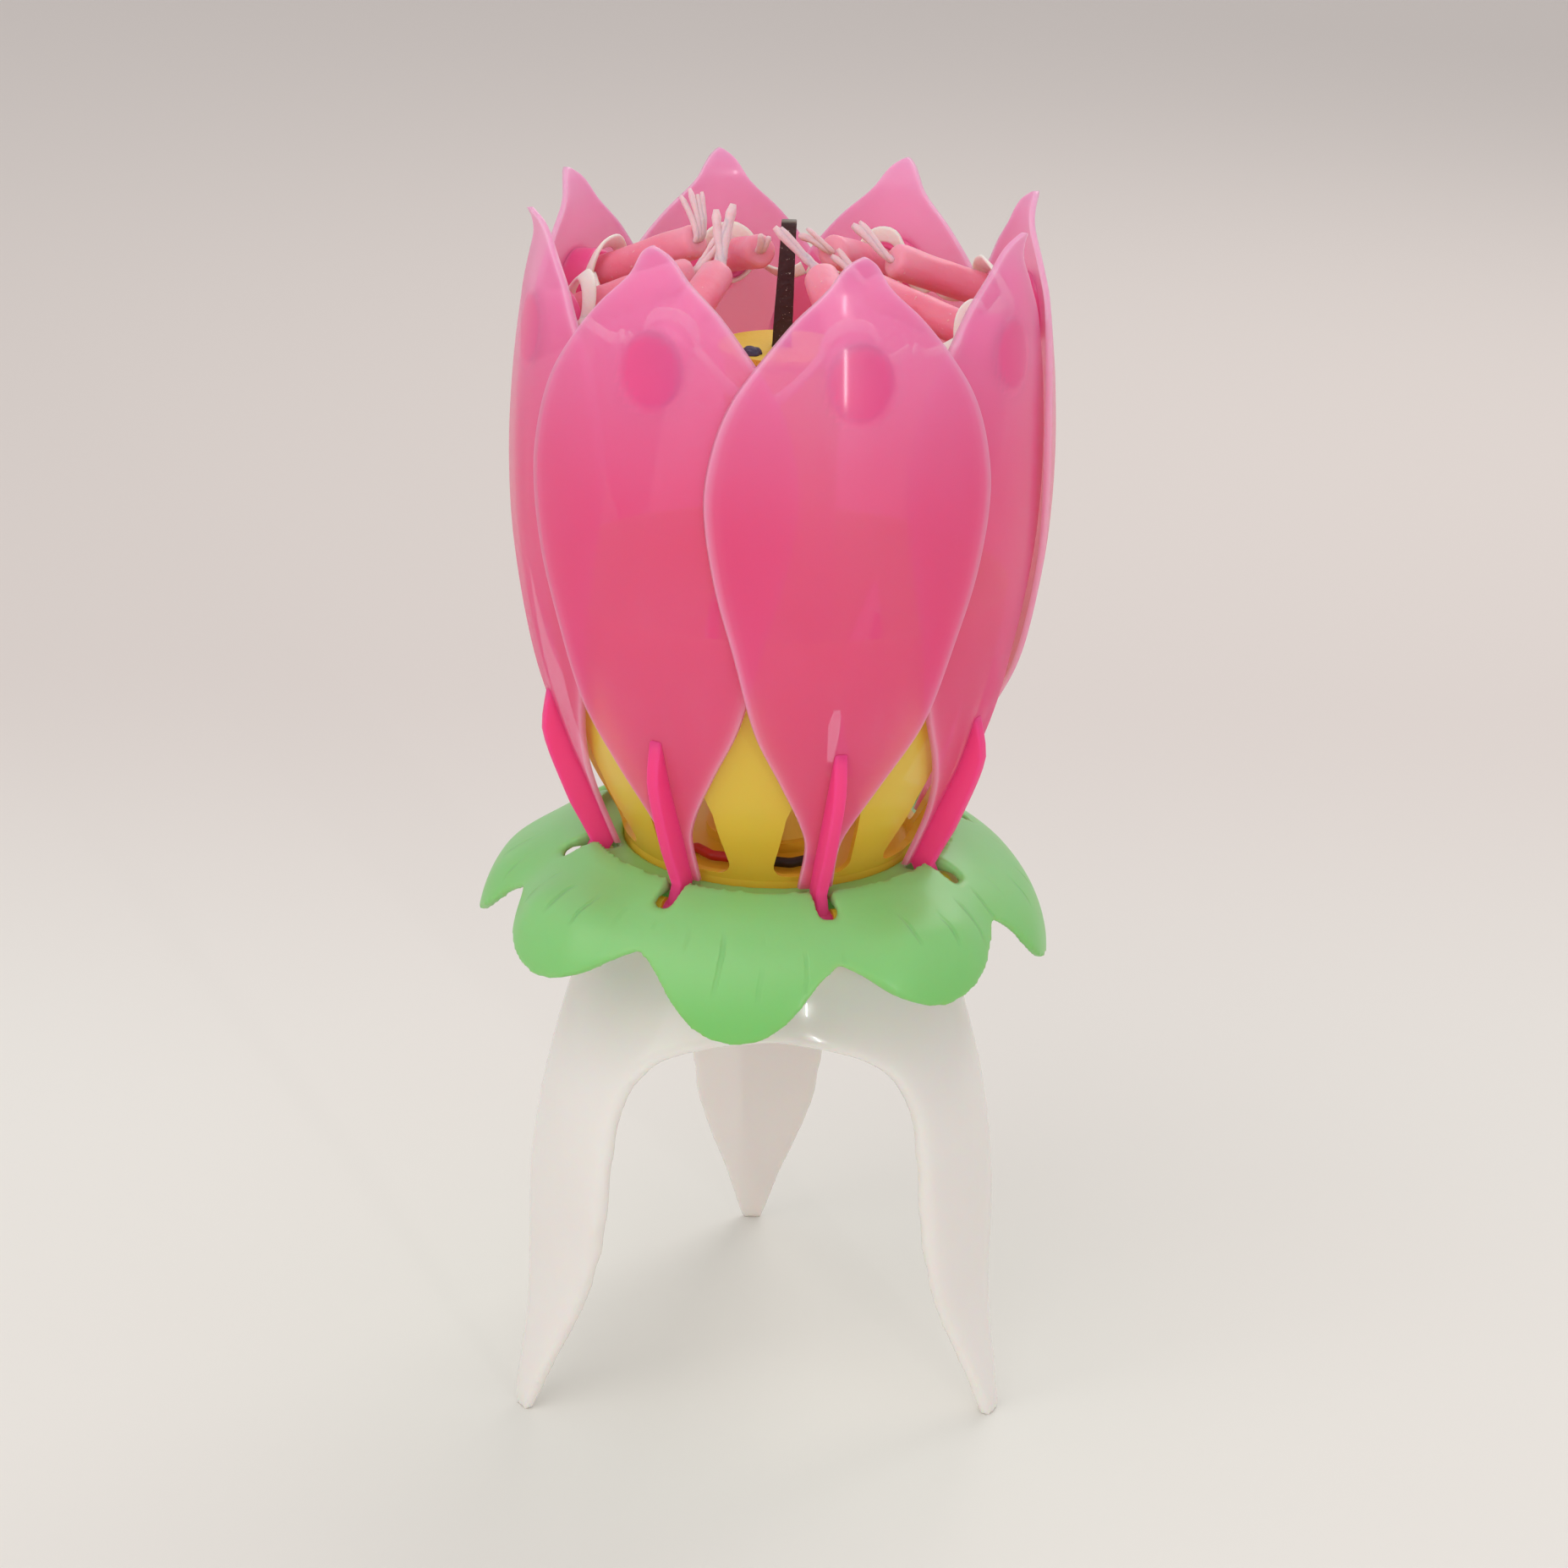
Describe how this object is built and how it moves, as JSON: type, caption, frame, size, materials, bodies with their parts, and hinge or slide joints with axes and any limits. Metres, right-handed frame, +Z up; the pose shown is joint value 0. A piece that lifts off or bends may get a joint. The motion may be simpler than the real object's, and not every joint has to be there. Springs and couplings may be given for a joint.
{
  "type": "musical birthday candle",
  "caption": "Closed lotus-flower birthday candle on a white tripod stand: petals with small candles hinge open round a central fountain while the flower turns and plays a tune.",
  "frame": {"origin": "on the floor, on the axis that the flower turns about, midway between the three feet", "axes": "+Z up along the turning axis; -Y is the side the picture is taken from, +X to its right; the third foot points along +Y"},
  "size_m": [0.0664, 0.0674, 0.1464],
  "materials": {
    "stand_white": "glossy milky white moulding",
    "calyx_green": "soft light-green moulding, a little see-through",
    "cup_yellow": "yellow moulding, half shine",
    "petal_pink": "pink moulding, see-through at its edges",
    "candle_wax": "pink wax",
    "wick_cotton": "waxed cotton strands",
    "ribbon_white": "thin white tie",
    "tube_paper": "wound paper tube, yellow",
    "charge_grey": "pressed powder",
    "cap_yellow": "yellow paper disc",
    "fuse_brown": "dark brown stick with pale specks",
    "primer_dark": "dark dab",
    "case_white": "white moulding",
    "steel": "plain steel",
    "gear_nylon": "natural nylon",
    "brass": "plain brass",
    "motor_cap": "white moulding",
    "cell_steel": "plated steel",
    "board_green": "lacquered board",
    "chip_black": "black resin blob",
    "lead_red": "red sleeve",
    "lead_black": "black sleeve",
    "switch_black": "black moulding"
  },
  "bodies": {
    "stand": {"tripod_stand": "stand_white", "spindle": "steel", "sun_gear": "gear_nylon", "thrust_washer": "gear_nylon"},
    "flower": {"calyx": "calyx_green", "flower_cup": "cup_yellow", "mechanism_case": "case_white", "base_cover": "case_white", "gear_deck": "case_white", "motor_can": "steel", "motor_end_cap": "motor_cap", "button_cells": "cell_steel", "cell_contacts": "brass", "circuit_board": "board_green", "melody_chip": "chip_black", "piezo_disc": "brass", "red_lead": "lead_red", "black_lead": "lead_black", "case_screws": "steel", "fountain_tube": "tube_paper", "fountain_charge": "charge_grey", "fountain_cap": "cap_yellow", "fountain_fuse": "fuse_brown", "primer_dab": "primer_dark", "start_switch": "switch_black"},
    "motor_rotor": {"motor_shaft": "steel", "motor_pinion": "brass"},
    "petal_body_1": {"petal_1": "petal_pink", "candle_1": "candle_wax", "wick_1": "wick_cotton", "ribbon_1": "ribbon_white"},
    "petal_body_2": {"petal_2": "petal_pink", "candle_2": "candle_wax", "wick_2": "wick_cotton", "ribbon_2": "ribbon_white"},
    "petal_body_3": {"petal_3": "petal_pink", "candle_3": "candle_wax", "wick_3": "wick_cotton", "ribbon_3": "ribbon_white"},
    "petal_body_4": {"petal_4": "petal_pink", "candle_4": "candle_wax", "wick_4": "wick_cotton", "ribbon_4": "ribbon_white"},
    "petal_body_5": {"petal_5": "petal_pink", "candle_5": "candle_wax", "wick_5": "wick_cotton", "ribbon_5": "ribbon_white"},
    "petal_body_6": {"petal_6": "petal_pink", "candle_6": "candle_wax", "wick_6": "wick_cotton", "ribbon_6": "ribbon_white"},
    "petal_body_7": {"petal_7": "petal_pink", "candle_7": "candle_wax", "wick_7": "wick_cotton", "ribbon_7": "ribbon_white"},
    "petal_body_8": {"petal_8": "petal_pink", "candle_8": "candle_wax", "wick_8": "wick_cotton", "ribbon_8": "ribbon_white"}
  },
  "joints": [
    {"name": "flower_spin", "type": "hinge", "parent": "stand", "child": "flower", "pos_m": [0, 0, 0.0556], "axis": [0, 0, 1], "continuous": true},
    {"name": "motor_spin", "type": "hinge", "parent": "flower", "child": "motor_rotor", "pos_m": [0, 0.01, 0.0556], "axis": [0, 0, 1], "continuous": true},
    {"name": "petal_1_open", "type": "hinge", "parent": "flower", "child": "petal_body_1", "pos_m": [0.00633, -0.02138, 0.0675], "axis": [0.9588, 0.284, 0], "range_deg": [0, 60]},
    {"name": "petal_2_open", "type": "hinge", "parent": "flower", "child": "petal_body_2", "pos_m": [0.0196, -0.01064, 0.0675], "axis": [0.4772, 0.8788, 0], "range_deg": [0, 60]},
    {"name": "petal_3_open", "type": "hinge", "parent": "flower", "child": "petal_body_3", "pos_m": [0.02138, 0.00633, 0.0675], "axis": [-0.284, 0.9588, 0], "range_deg": [0, 60]},
    {"name": "petal_4_open", "type": "hinge", "parent": "flower", "child": "petal_body_4", "pos_m": [0.01064, 0.0196, 0.0675], "axis": [-0.8788, 0.4772, 0], "range_deg": [0, 60]},
    {"name": "petal_5_open", "type": "hinge", "parent": "flower", "child": "petal_body_5", "pos_m": [-0.00633, 0.02138, 0.0675], "axis": [-0.9588, -0.284, 0], "range_deg": [0, 60]},
    {"name": "petal_6_open", "type": "hinge", "parent": "flower", "child": "petal_body_6", "pos_m": [-0.0196, 0.01064, 0.0675], "axis": [-0.4772, -0.8788, 0], "range_deg": [0, 60]},
    {"name": "petal_7_open", "type": "hinge", "parent": "flower", "child": "petal_body_7", "pos_m": [-0.02138, -0.00633, 0.0675], "axis": [0.284, -0.9588, 0], "range_deg": [0, 60]},
    {"name": "petal_8_open", "type": "hinge", "parent": "flower", "child": "petal_body_8", "pos_m": [-0.01064, -0.0196, 0.0675], "axis": [0.8788, -0.4772, 0], "range_deg": [0, 60]}
  ],
  "couplings": [
    {"joint": "motor_spin", "follows": "flower_spin", "ratio": 3},
    {"joint": "petal_2_open", "follows": "petal_1_open", "ratio": 1},
    {"joint": "petal_3_open", "follows": "petal_1_open", "ratio": 1},
    {"joint": "petal_4_open", "follows": "petal_1_open", "ratio": 1},
    {"joint": "petal_5_open", "follows": "petal_1_open", "ratio": 1},
    {"joint": "petal_6_open", "follows": "petal_1_open", "ratio": 1},
    {"joint": "petal_7_open", "follows": "petal_1_open", "ratio": 1},
    {"joint": "petal_8_open", "follows": "petal_1_open", "ratio": 1}
  ]
}
